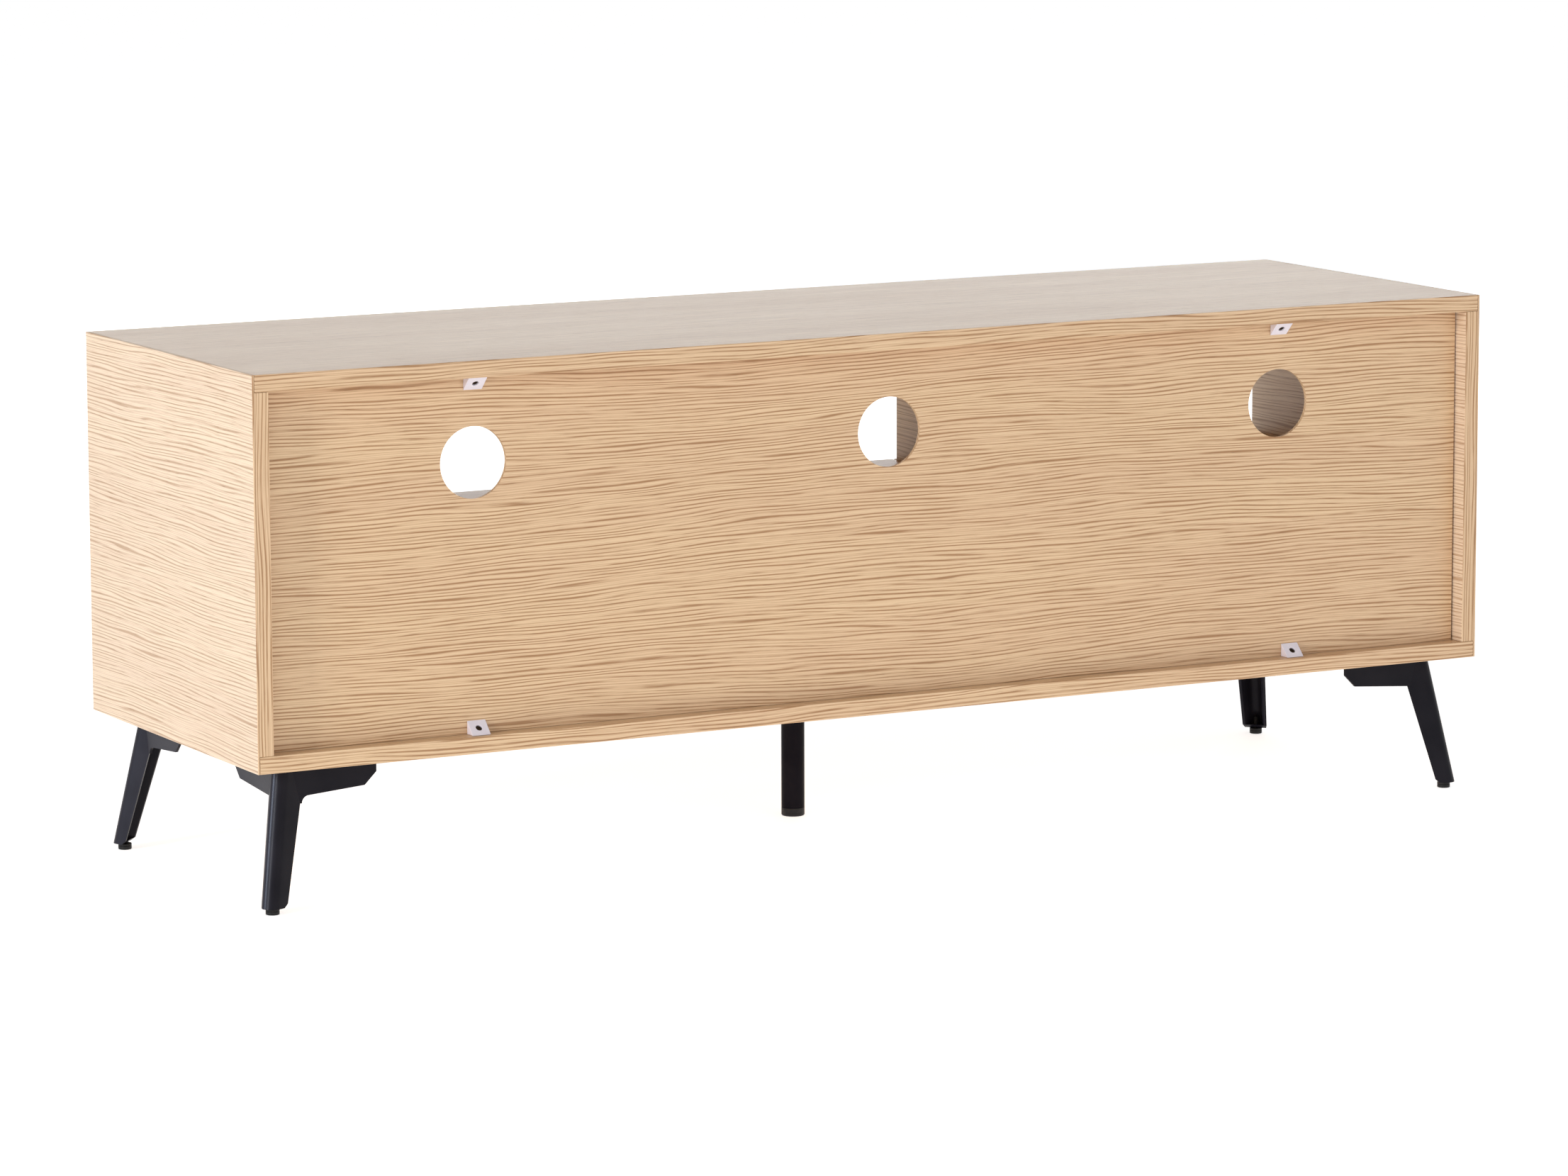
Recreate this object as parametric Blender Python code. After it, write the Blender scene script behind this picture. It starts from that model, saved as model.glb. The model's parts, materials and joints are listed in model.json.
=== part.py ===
"""Media cabinet: a low oak-faced TV bench on five black legs.

Three open niches sit over three drawers.  The back panel has one round cable
hole for each niche and is held in its recess by four wedge clips.
Metres, +Z up.  The drawers open towards -Y, the back panel faces +Y, and the
origin is on the floor in the middle of the whole object's box.
"""
from math import cos, pi, radians, sin, sqrt, tan

import bmesh
import bpy
from mathutils import Matrix, Vector

# Clearances between pieces
GAP = 0.0003  # between pieces that touch
REVEAL = 0.003  # round each drawer front
SMOOTH_ANGLE = radians(30)  # facets that meet flatter than this are shaded as one

# Cabinet body
BODY_W = 1.500
BODY_D = 0.445
BODY_H = 0.412
BOARD_T = 0.018
END_SKIN_T = 0.0022  # side panel's outer skin, which covers the ends of top and bottom
EDGE_BREAK = 0.0004  # sanded edge of every board
INNER_SETBACK = 0.018  # dividers and shelves stop this far behind the front
NICHE_H = 0.185
BACK_T = 0.004
BACK_RECESS = 0.019
BACK_SIDE_GAP = 0.002
HOLE_R = 0.038
HOLE_RISE = 0.002  # holes sit this far above the middle of the niche

# Wedge clips of the back panel
CLIP_W = 0.021
CLIP_LEG = 0.014
CLIP_BORE_R = 0.0036
CLIP_BORE_DEPTH = 0.0032
CLIP_PILOT_R = 0.0019
CLIP_PILOT_DEPTH = 0.0068
CLIP_SCREW_R = 0.0016
CLIP_SCREW_TIP = 0.001
CLIP_SCREW_HEAD_H = 0.0018
STRAY_CLIP_SHIFT = 0.018  # one clip was screwed on off the hole's centre line

# Corner legs: a folded steel V with a round nose, and two bracket wings
LEG_H = 0.152
LEG_INSET = 0.024  # foot axis from the body's end and from its back or front
LEG_T = 0.003
NOSE_R = 0.0109
FOLD_HALF_ANGLE = radians(22)
RIDGE_TOP = 0.0037  # V's sharp ridge, inwards of the foot axis along the diagonal
RIDGE_BOTTOM = -0.0306
LIP_TOP = 0.0506  # V's free edges, along the same diagonal
LIP_BOTTOM = 0.0053
HOLLOW_SPREAD = 0.030  # how far the V's hollow runs past its free edges
WEB_T = 0.004  # web that closes the bottom of the V
FOLD_CORNER = 0.004  # cut off the V's free edges at the bottom
WING_INSET = 0.014  # wing's outer face, inwards of the foot axis
WING_ROOT = 0.026
WING_REACH = 0.126
WING_TIP_H = 0.015
WING_CHAMFER = 0.0135
WING_DEPTH = 0.034
THROAT_AT = 0.041  # where the wing's lower edge turns down into the leg
THROAT_R = 0.008
MOUNT_PLATE_T = 0.003
MOUNT_PLATE_ROOT = 0.011  # from a wing to the plate's cut corner at the V
MOUNT_PLATE_END = 0.010  # the plate stops this far before a wing's tip
MOUNT_PLATE_TIP_W = 0.016
MOUNT_HOLE_R = 0.0026
OUTER_HOLE = (0.022, 0.008)  # from a wing's tip and from its inner face
INNER_HOLE = (0.067, 0.014)

# Levelling feet of the corner legs
FOOT_R = 0.0073
FOOT_H = 0.0065
FOOT_CHAMFER = 0.001
STEM_R = 0.003
STEM_RISE = 0.014
STEM_CLEARANCE = 0.0003

# Straight leg under the middle
TUBE_R = 0.013
TUBE_WALL = 0.0015
TUBE_FOOT_H = 0.009
TUBE_PLUG_H = 0.015
TUBE_PLATE_R = 0.030
TUBE_PLATE_T = 0.0025
TUBE_FORWARD = 0.016  # in front of the middle of the body

# Drawers
FRONT_T = 0.016
BOX_SIDE_T = 0.012
BOX_H = 0.115
BOX_REAR_SPACE = 0.0557  # between a closed drawer and the back panel
BOX_LIFT = 0.020
BOTTOM_T = 0.004
BOTTOM_LIFT = 0.010
GROOVE_D = 0.006
FRONT_TOP_DROP = 0.0015

# Drawer runners: a channel on the cabinet and a smaller one on the drawer
RUNNER_SPACE = 0.013
RUNNER_H = 0.035
RUNNER_T = 0.0012
RUNNER_DEPTH = 0.0095
RUNNER_PLAY = 0.0016  # above and below the moving channel
RUNNER_BACK_PLAY = 0.0032  # between the moving channel and the fixed one's web
RUNNER_RISE = 0.045  # middle of the runner above the bottom of the drawer box
RUNNER_SHORTER = 0.010

# Bar handles
HANDLE_L = 0.160
HANDLE_PROJECTION = 0.028
HANDLE_BAR_T = 0.008
HANDLE_H = 0.010
HANDLE_FOOT_L = 0.014
HANDLE_CHAMFER = 0.009
HANDLE_EDGE = 0.001
HANDLE_DROP = 0.036  # below the top of the drawer front

# Places that follow from the sizes above
FRONT_Y = HANDLE_PROJECTION - (BODY_D + HANDLE_PROJECTION) / 2
BACK_Y = FRONT_Y + BODY_D
MIDDLE_Y = (FRONT_Y + BACK_Y) / 2
INNER_W = BODY_W - 2 * BOARD_T
INNER_FRONT_Y = FRONT_Y + INNER_SETBACK
BACK_PANEL_Y = BACK_Y - BACK_RECESS - BACK_T
FLOOR_Z = LEG_H + BOARD_T
CEILING_Z = LEG_H + BODY_H - BOARD_T
SHELF_Z = CEILING_Z - NICHE_H
BAY_W = (INNER_W - 2 * BOARD_T) / 3
BAY_PITCH = BAY_W + BOARD_T
FRONT_W = (INNER_W - 4 * REVEAL) / 3
BAYS = {"left": -1, "centre": 0, "right": 1}
ENDS = {"left": -1, "right": 1}
CORNERS = {"back_right": (1, 1), "back_left": (-1, 1), "front_left": (-1, -1), "front_right": (1, -1)}


# Tools for making meshes and objects

def finish_material(name, colour, roughness, metallic=0.0):
    """A Principled material with one colour."""
    made = bpy.data.materials.new(name)
    made.use_nodes = True
    shader = made.node_tree.nodes["Principled BSDF"]
    shader.inputs["Base Color"].default_value = (*colour, 1.0)
    shader.inputs["Roughness"].default_value = roughness
    shader.inputs["Metallic"].default_value = metallic
    return made


def mesh_from(bm, name):
    """Turn a bmesh into a mesh whose faces point out."""
    bmesh.ops.recalc_face_normals(bm, faces=bm.faces)
    mesh = bpy.data.meshes.new(name)
    bm.to_mesh(mesh)
    bm.free()
    return mesh


def place(name, mesh, material, at=(0, 0, 0), turn=(0, 0, 0), parent=None):
    """Add an object that uses a mesh; places are in world coordinates."""
    piece = bpy.data.objects.new(name, mesh)
    if material is not None and not mesh.materials:
        mesh.materials.append(material)
    piece.location = at
    piece.rotation_euler = turn
    if parent is not None:
        piece.parent = parent
        piece.matrix_parent_inverse = Matrix.Translation(parent.location).inverted()
    bpy.context.scene.collection.objects.link(piece)
    return piece


def box_mesh(name, size):
    bm = bmesh.new()
    bmesh.ops.create_cube(bm, size=1.0, matrix=Matrix.Diagonal((*size, 1.0)))
    return mesh_from(bm, name)


def board(name, low, high, material, parent=None):
    """A rectangular board between two corners, with its edges broken."""
    low, high = Vector(low), Vector(high)
    piece = place(name, box_mesh(name, high - low), material, (low + high) / 2, parent=parent)
    soften(piece, EDGE_BREAK, 1)
    return piece


def soften(piece, width, segments):
    """Round the sharp edges of a piece."""
    bevel = piece.modifiers.new("edges", 'BEVEL')
    bevel.width = width
    bevel.segments = segments
    bevel.limit_method = 'ANGLE'


def extruded(name, outline, depth):
    """A flat outline in XY, pushed up along Z by depth."""
    bm = bmesh.new()
    face = bm.faces.new([bm.verts.new((x, y, 0)) for x, y in outline])
    grown = bmesh.ops.extrude_face_region(bm, geom=[face])
    moved = [item for item in grown["geom"] if isinstance(item, bmesh.types.BMVert)]
    bmesh.ops.translate(bm, verts=moved, vec=(0, 0, depth))
    return mesh_from(bm, name)


def run_along_y(name, mesh, material, x, y, z, length, faces, parent=None):
    """Lay an extruded profile along Y, with its profile's X axis towards faces."""
    if faces > 0:
        return place(name, mesh, material, (x, y + length, z), (pi / 2, 0, 0), parent)
    return place(name, mesh, material, (x, y, z), (pi / 2, 0, pi), parent)


def lofted(name, outlines):
    """A solid through outlines with the same number of points, lowest first."""
    bm = bmesh.new()
    rings = [[bm.verts.new(point) for point in outline] for outline in outlines]
    bm.faces.new(rings[0])
    bm.faces.new(rings[-1])
    for below, above in zip(rings, rings[1:]):
        for index in range(len(below)):
            after = (index + 1) % len(below)
            bm.faces.new((below[index], below[after], above[after], above[index]))
    return mesh_from(bm, name)


def turned(name, profile, steps=32, closed=False):
    """A profile of (radius, height) points turned round Z."""
    bm = bmesh.new()
    points = [bm.verts.new((radius, 0, height)) for radius, height in profile]
    edges = [bm.edges.new(pair) for pair in zip(points, points[1:])]
    if closed:
        edges.append(bm.edges.new((points[-1], points[0])))
    bmesh.ops.spin(bm, geom=points + edges, cent=(0, 0, 0), axis=(0, 0, 1),
                   angle=2 * pi, steps=steps, use_merge=True)
    bmesh.ops.remove_doubles(bm, verts=bm.verts, dist=1e-6)
    mesh = mesh_from(bm, name)
    mesh.shade_smooth()
    mesh.set_sharp_from_angle(angle=SMOOTH_ANGLE)
    return mesh


def rod(name, radius, length, steps=24):
    """A plain cylinder standing on the origin."""
    return turned(name, [(0, 0), (radius, 0), (radius, length), (0, length)], steps)


def combined(name, base, changes):
    """Join and cut meshes: changes is a list of (operation, mesh, matrix)."""
    body = place(name, base, None)
    helpers = []
    for operation, mesh, matrix in changes:
        helper = place(name + "_helper", mesh, None)
        helper.matrix_world = matrix
        helpers.append(helper)
        step = body.modifiers.new("combine", 'BOOLEAN')
        step.object = helper
        step.operation = operation
        step.solver = 'EXACT'
    bpy.context.view_layer.update()
    seen = body.evaluated_get(bpy.context.evaluated_depsgraph_get())
    mesh = bpy.data.meshes.new_from_object(seen)
    mesh.name = name
    for used in [body] + helpers:
        bpy.data.objects.remove(used)
    return mesh


def arc(centre, radius, start, end, steps):
    """Points on an arc from one angle to another."""
    turn = [start + (end - start) * step / steps for step in range(steps + 1)]
    return [(centre[0] + radius * cos(a), centre[1] + radius * sin(a)) for a in turn]


# Cabinet body

def side_panel_mesh():
    """Side panel standing on its rear edge; its outer skin covers the other boards' ends."""
    skin = END_SKIN_T
    rise = BOARD_T + GAP
    return extruded("side_panel", [
        (0, 0), (skin, 0), (skin, rise), (BOARD_T, rise), (BOARD_T, BODY_H - rise),
        (skin, BODY_H - rise), (skin, BODY_H), (0, BODY_H)], BODY_D)


def add_carcass(oak):
    """Top and bottom lie between the end skins; dividers and shelves sit inside."""
    half = BODY_W / 2
    reach = half - END_SKIN_T - GAP
    board("bottom_panel", (-reach, FRONT_Y, LEG_H), (reach, BACK_Y, FLOOR_Z), oak)
    board("top_panel", (-reach, FRONT_Y, CEILING_Z), (reach, BACK_Y, LEG_H + BODY_H), oak)
    panel = side_panel_mesh()
    rear = BACK_PANEL_Y - GAP
    for end, side in ENDS.items():
        piece = run_along_y("side_panel_" + end, panel, oak, side * half, FRONT_Y, LEG_H,
                            BODY_D, -side)
        soften(piece, EDGE_BREAK, 1)
        middle = side * BAY_PITCH / 2
        board("divider_" + end, (middle - BOARD_T / 2, INNER_FRONT_Y, FLOOR_Z + GAP),
              (middle + BOARD_T / 2, rear, CEILING_Z - GAP), oak)
    for bay, side in BAYS.items():
        reach = BAY_W / 2 - GAP
        middle = side * BAY_PITCH
        board("shelf_" + bay, (middle - reach, INNER_FRONT_Y, SHELF_Z - BOARD_T),
              (middle + reach, rear, SHELF_Z), oak)


def add_back_panel(oak):
    """One thin sheet with a cable hole behind the middle of each niche."""
    size = (INNER_W - 2 * BACK_SIDE_GAP, BACK_T, CEILING_Z - FLOOR_Z - 2 * GAP)
    centre = Vector((0, BACK_PANEL_Y + BACK_T / 2, (CEILING_Z + FLOOR_Z) / 2))
    hole_z = CEILING_Z - NICHE_H / 2 + HOLE_RISE
    drill = rod("cable_hole", HOLE_R, 4 * BACK_T, steps=64)
    cuts = []
    for side in BAYS.values():
        start = Vector((side * BAY_PITCH, 2 * BACK_T, hole_z - centre.z))
        turn = Matrix.Rotation(radians(90), 4, 'X')
        cuts.append(('DIFFERENCE', drill, Matrix.Translation(start) @ turn))
    sheet = combined("back_panel", box_mesh("back_sheet", size), cuts)
    place("back_panel", sheet, oak, centre)


# Clips

def clip_mesh():
    """A right-angled wedge with a stepped screw hole square to its slanted face."""
    wedge = extruded("clip_wedge", [(0, 0), (CLIP_LEG, 0), (0, CLIP_LEG)], CLIP_W)
    stand = Matrix(((0, 0, 1), (1, 0, 0), (0, 1, 0))).to_4x4()
    wedge.transform(Matrix.Translation((-CLIP_W / 2, 0, 0)) @ stand)
    bore = screw_axis(CLIP_BORE_DEPTH)
    pilot = screw_axis(CLIP_PILOT_DEPTH)
    return combined("wedge_clip", wedge, [
        ('DIFFERENCE', rod("clip_bore", CLIP_BORE_R, 2 * CLIP_LEG, 20), bore),
        ('DIFFERENCE', rod("clip_pilot", CLIP_PILOT_R, 2 * CLIP_LEG, 16), pilot)])


def screw_axis(depth):
    """Stand Z on the slanted face's normal, sunk into the face by depth."""
    middle = Vector((0, CLIP_LEG / 2, CLIP_LEG / 2))
    normal = Vector((0, 1, 1)).normalized()
    spin = Vector((0, 0, 1)).rotation_difference(normal).to_matrix().to_4x4()
    return Matrix.Translation(middle - normal * depth) @ spin


def clip_screw_mesh():
    """A pan-head screw that lies in the clip's stepped hole."""
    head_r = CLIP_BORE_R - GAP
    shank = CLIP_PILOT_DEPTH - CLIP_BORE_DEPTH - 2 * GAP
    profile = [(0, -shank), (CLIP_SCREW_R / 2, -shank), (CLIP_SCREW_R, -shank + CLIP_SCREW_TIP),
               (CLIP_SCREW_R, 0), (head_r, 0), (head_r, CLIP_SCREW_HEAD_H / 2),
               (head_r * 0.75, CLIP_SCREW_HEAD_H), (0, CLIP_SCREW_HEAD_H)]
    mesh = turned("clip_screw", profile, steps=20)
    mesh.transform(screw_axis(CLIP_BORE_DEPTH - GAP))
    return mesh


def add_clips(plastic, zinc):
    clip = clip_mesh()
    screw = clip_screw_mesh()
    rear = BACK_PANEL_Y + BACK_T + GAP
    for end, side in ENDS.items():
        for level, height, turn in (("lower", FLOOR_Z + GAP, 0), ("upper", CEILING_Z - GAP, pi)):
            shift = -STRAY_CLIP_SHIFT if (end, level) == ("left", "lower") else 0
            at = (side * BAY_PITCH + shift, rear, height)
            place(f"back_clip_{level}_{end}", clip, plastic, at, (0, turn, 0))
            place(f"clip_screw_{level}_{end}", screw, zinc, at, (0, turn, 0))


# Corner legs.  In the leg's own frame the foot axis is Z, the top is at zero,
# and the nose points along +X+Y.

def fold_outline(ridge, lip, nose_r, height):
    """The V's section: free edge, round nose, free edge, in leg coordinates."""
    half_width = (lip - ridge) * tan(FOLD_HALF_ANGLE)
    nose = ridge + nose_r / sin(FOLD_HALF_ANGLE)
    swing = pi / 2 - FOLD_HALF_ANGLE
    section = [(lip, half_width)]
    section += arc((nose, 0), nose_r, pi - swing, pi + swing, 12)
    section += [(lip, -half_width)]
    inwards = Vector((-1, -1, 0)) / sqrt(2)
    across = Vector((-1, 1, 0)) / sqrt(2)
    return [inwards * along + across * aside + Vector((0, 0, height)) for along, aside in section]


def at_height(top, bottom, height):
    """A size of the V at a height, from its values at the top and the bottom."""
    return top + (bottom - top) * height / -leg_metal_h()


def leg_metal_h():
    return LEG_H - FOOT_H - 2 * GAP


def shaft_mesh(name, wall, sections):
    """The V through (height, spread) sections: thinner by wall, open by spread."""
    rings = []
    for height, spread in sections:
        ridge = at_height(RIDGE_TOP, RIDGE_BOTTOM, height) + wall / sin(FOLD_HALF_ANGLE)
        lip = at_height(LIP_TOP, LIP_BOTTOM, height) + spread
        rings.append(fold_outline(ridge, lip, NOSE_R - wall, height))
    return lofted(name, rings)


def wing_outline(rounded_throat):
    """Wing seen from outside: X runs inwards along the body's edge, Y is height."""
    slope = (WING_DEPTH - WING_TIP_H - WING_CHAMFER) / (WING_REACH - WING_CHAMFER - THROAT_AT)
    outline = [(WING_ROOT, 0), (WING_REACH, 0), (WING_REACH, -WING_TIP_H),
               (WING_REACH - WING_CHAMFER, -WING_TIP_H - WING_CHAMFER)]
    if not rounded_throat:
        return outline + [(WING_ROOT, -WING_DEPTH - slope * (THROAT_AT - WING_ROOT))]
    throat_y = -WING_DEPTH + slope * THROAT_R
    curve = arc((THROAT_AT + THROAT_R, throat_y - THROAT_R), THROAT_R, pi / 2, pi, 5)
    return outline + curve + [(WING_ROOT, throat_y - THROAT_R)]


def wing_matrix(runs_along):
    """Stand a wing in its plane, with its outer face WING_INSET inwards."""
    if runs_along == 'X':
        axes = Matrix(((-1, 0, 0), (0, 0, 1), (0, 1, 0))).to_4x4()
        return Matrix.Translation((0, -WING_INSET - LEG_T, 0)) @ axes
    axes = Matrix(((0, 0, -1), (-1, 0, 0), (0, 1, 0))).to_4x4()
    return Matrix.Translation((-WING_INSET, 0, 0)) @ axes


def mount_plate_mesh():
    """The flat plate between the wings that screws to the bottom panel."""
    near = WING_INSET + LEG_T / 2
    root = near + MOUNT_PLATE_ROOT
    far = WING_REACH - MOUNT_PLATE_END
    narrow = near + MOUNT_PLATE_TIP_W
    outline = [(-root, -near), (-far, -near), (-far, -narrow),
               (-narrow, -far), (-near, -far), (-near, -root)]
    mesh = extruded("mount_plate", outline, MOUNT_PLATE_T)
    mesh.transform(Matrix.Translation((0, 0, -MOUNT_PLATE_T)))
    return mesh


def mount_hole_places():
    """Two screw holes along each wing, mirrored over the diagonal."""
    edge = WING_INSET + LEG_T
    spots = [(-edge - inwards, -WING_REACH + back) for back, inwards in (OUTER_HOLE, INNER_HOLE)]
    return spots + [(y, x) for x, y in spots]


def corner_leg_mesh():
    """Fold, then hollow it, add its wings and plate, and drill it."""
    bottom = -leg_metal_h()
    shell = shaft_mesh("leg_shell", 0, [(bottom, -FOLD_CORNER), (bottom + FOLD_CORNER, 0), (0, 0)])
    hollow = shaft_mesh("leg_hollow", LEG_T, [(bottom + WEB_T, HOLLOW_SPREAD), (LEG_T, HOLLOW_SPREAD)])
    end_wing = extruded("end_wing", wing_outline(False), LEG_T)
    rear_wing = extruded("rear_wing", wing_outline(True), LEG_T)
    stem_hole = rod("stem_hole", STEM_R + STEM_CLEARANCE, 3 * WEB_T, 16)
    steps = [
        ('DIFFERENCE', hollow, Matrix()),
        ('UNION', rear_wing, wing_matrix('X')),
        ('UNION', end_wing, wing_matrix('Y')),
        ('UNION', mount_plate_mesh(), Matrix()),
        ('DIFFERENCE', stem_hole, Matrix.Translation((0, 0, bottom - WEB_T)))]
    drill = rod("mount_hole", MOUNT_HOLE_R, 3 * MOUNT_PLATE_T, 12)
    for x, y in mount_hole_places():
        steps.append(('DIFFERENCE', drill, Matrix.Translation((x, y, -2 * MOUNT_PLATE_T))))
    mesh = combined("corner_leg", shell, steps)
    mesh.shade_smooth()
    mesh.set_sharp_from_angle(angle=SMOOTH_ANGLE)
    return mesh


def add_corner_legs(black_steel, black_plastic):
    """Four equal legs, each turned so that its nose points away from the middle."""
    leg = corner_leg_mesh()
    foot = turned("levelling_foot", [
        (0, 0), (FOOT_R - FOOT_CHAMFER, 0), (FOOT_R, FOOT_CHAMFER),
        (FOOT_R, FOOT_H - FOOT_CHAMFER / 2), (FOOT_R - FOOT_CHAMFER / 2, FOOT_H), (STEM_R, FOOT_H),
        (STEM_R, FOOT_H + STEM_RISE), (0, FOOT_H + STEM_RISE)], steps=24)
    reach_x = BODY_W / 2 - LEG_INSET
    reach_y = BODY_D / 2 - LEG_INSET
    for quarter, (corner, (side_x, side_y)) in enumerate(CORNERS.items()):
        at = (side_x * reach_x, MIDDLE_Y + side_y * reach_y)
        place("leg_" + corner, leg, black_steel, (*at, LEG_H - GAP), (0, 0, quarter * pi / 2))
        place("foot_" + corner, foot, black_plastic, (*at, 0))


# Leg under the middle

def add_centre_leg(black_steel, black_plastic):
    """A round tube below a screwed plate, closed by an adjustable foot."""
    at = (0, MIDDLE_Y - TUBE_FORWARD)
    bore = TUBE_R - TUBE_WALL
    plate_z = LEG_H - GAP - TUBE_PLATE_T
    plate = rod("tube_plate", TUBE_PLATE_R, TUBE_PLATE_T, 48)
    drill = rod("plate_hole", MOUNT_HOLE_R, 3 * TUBE_PLATE_T, 12)
    ring = (TUBE_PLATE_R + TUBE_R) / 2
    holes = [('DIFFERENCE', drill, Matrix.Translation((ring * cos(a), ring * sin(a), -TUBE_PLATE_T)))
             for a in (pi / 4, 3 * pi / 4, 5 * pi / 4, 7 * pi / 4)]
    place("centre_leg_plate", combined("drilled_plate", plate, holes), black_steel, (*at, plate_z))
    low = TUBE_FOOT_H + GAP
    high = plate_z - GAP
    tube = turned("centre_tube", [(bore, low), (TUBE_R, low), (TUBE_R, high), (bore, high)],
                  steps=40, closed=True)
    place("centre_leg_tube", tube, black_steel, (*at, 0))
    plug = bore - GAP
    foot = turned("tube_foot", [
        (0, 0), (TUBE_R - FOOT_CHAMFER, 0), (TUBE_R, FOOT_CHAMFER), (TUBE_R, TUBE_FOOT_H),
        (plug, TUBE_FOOT_H), (plug, TUBE_FOOT_H + TUBE_PLUG_H), (0, TUBE_FOOT_H + TUBE_PLUG_H)],
        steps=40)
    place("centre_leg_foot", foot, black_plastic, (*at, 0))


# Drawers

BOX_W = BAY_W - 2 * RUNNER_SPACE
BOX_Z = FLOOR_Z + BOX_LIFT
BOX_FRONT_Y = FRONT_Y + FRONT_T + GAP
BOX_BACK_Y = BACK_PANEL_Y - BOX_REAR_SPACE
BOX_L = BOX_BACK_Y - BOX_FRONT_Y
RUNNER_L = BOX_L
GROOVE_LOW = BOTTOM_LIFT - GAP
GROOVE_HIGH = BOTTOM_LIFT + BOTTOM_T + GAP
BOTTOM_HALF_W = BOX_W / 2 - BOX_SIDE_T + GROOVE_D - GAP


def box_side_mesh():
    """Side of a drawer box, its inner face at X = 0 with a groove for the bottom."""
    return extruded("box_side", [
        (0, 0), (BOX_SIDE_T, 0), (BOX_SIDE_T, BOX_H), (0, BOX_H), (0, GROOVE_HIGH),
        (GROOVE_D, GROOVE_HIGH), (GROOVE_D, GROOVE_LOW), (0, GROOVE_LOW)], BOX_L)


def channel_mesh(name, height, depth, length):
    """A runner's C section, its web at X = 0 and open towards +X."""
    half = height / 2
    inner = half - RUNNER_T
    return extruded(name, [
        (0, -half), (depth, -half), (depth, -inner), (RUNNER_T, -inner),
        (RUNNER_T, inner), (depth, inner), (depth, half), (0, half)], length)


def handle_mesh():
    """A flat bar bent into two feet, lying in XY with the grip towards +Y."""
    end = HANDLE_L / 2
    root = end - HANDLE_FOOT_L
    reach = HANDLE_PROJECTION - GAP
    grip = reach - HANDLE_BAR_T
    inner_chamfer = HANDLE_CHAMFER / 2
    right = [(end, 0), (end, reach - HANDLE_CHAMFER), (end - HANDLE_CHAMFER, reach)]
    inside = [(root - inner_chamfer, grip), (root, grip - inner_chamfer), (root, 0)]
    left = [(-x, y) for x, y in reversed(right)]
    inside_left = [(-x, y) for x, y in reversed(inside)]
    return extruded("bar_handle", right + left + inside_left + inside, HANDLE_H)


def add_drawer_front(bay, side, wood, parent):
    """The front, with a groove in its rear face for the drawer's bottom."""
    low = Vector((-FRONT_W / 2, FRONT_Y, FLOOR_Z + REVEAL))
    high = Vector((FRONT_W / 2, FRONT_Y + FRONT_T, SHELF_Z - FRONT_TOP_DROP))
    centre = (low + high) / 2
    front_x = side * (FRONT_W + REVEAL)
    groove = (2 * (BOTTOM_HALF_W + GAP), 2 * GROOVE_D, GROOVE_HIGH - GROOVE_LOW)
    groove_at = (side * BAY_PITCH - front_x, FRONT_T / 2,
                 BOX_Z + (GROOVE_LOW + GROOVE_HIGH) / 2 - centre.z)
    slab = combined("front_slab", box_mesh("slab", high - low), [
        ('DIFFERENCE', box_mesh("groove", groove), Matrix.Translation(groove_at))])
    piece = place("drawer_front_" + bay, slab, wood, centre + Vector((front_x, 0, 0)), parent=parent)
    soften(piece, EDGE_BREAK, 1)
    return high.z, front_x


def add_drawer(bay, side, shared, wood, liner, zinc, black_steel):
    """A grooved box behind its front, with a runner on each side and a handle."""
    middle = side * BAY_PITCH
    half = BOX_W / 2
    runner_z = BOX_Z + RUNNER_RISE
    slide = bpy.data.objects.new("drawer_slide_" + bay, None)
    slide.location = (middle, FRONT_Y, runner_z)
    bpy.context.scene.collection.objects.link(slide)
    top_z, front_x = add_drawer_front(bay, side, wood, slide)
    place("handle_" + bay, shared["handle"], black_steel,
          (front_x, FRONT_Y - GAP, top_z - HANDLE_DROP - HANDLE_H / 2), (0, 0, pi), slide)
    sheet_z = BOX_Z + BOTTOM_LIFT
    board("drawer_bottom_" + bay, (middle - BOTTOM_HALF_W, BOX_FRONT_Y - GROOVE_D, sheet_z),
          (middle + BOTTOM_HALF_W, BOX_BACK_Y, sheet_z + BOTTOM_T), liner, slide)
    inside = half - BOX_SIDE_T - GAP
    board("drawer_back_" + bay,
          (middle - inside, BOX_BACK_Y - BOX_SIDE_T, BOX_Z + GROOVE_HIGH),
          (middle + inside, BOX_BACK_Y, BOX_Z + BOX_H), liner, slide)
    moving_l = RUNNER_L - RUNNER_SHORTER
    for hand, facing in ENDS.items():
        label = f"{bay}_{hand}"
        run_along_y("drawer_side_" + label, shared["side"], liner,
                    middle + facing * (half - BOX_SIDE_T), BOX_FRONT_Y, BOX_Z, BOX_L, facing, slide)
        run_along_y("runner_drawer_" + label, shared["moving"], zinc,
                    middle + facing * (half + GAP), BOX_FRONT_Y + REVEAL, runner_z,
                    moving_l, facing, slide)
        run_along_y("runner_cabinet_" + label, shared["fixed"], zinc,
                    middle + facing * (BAY_W / 2 - GAP), INNER_FRONT_Y + REVEAL, runner_z,
                    RUNNER_L, -facing)


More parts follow.
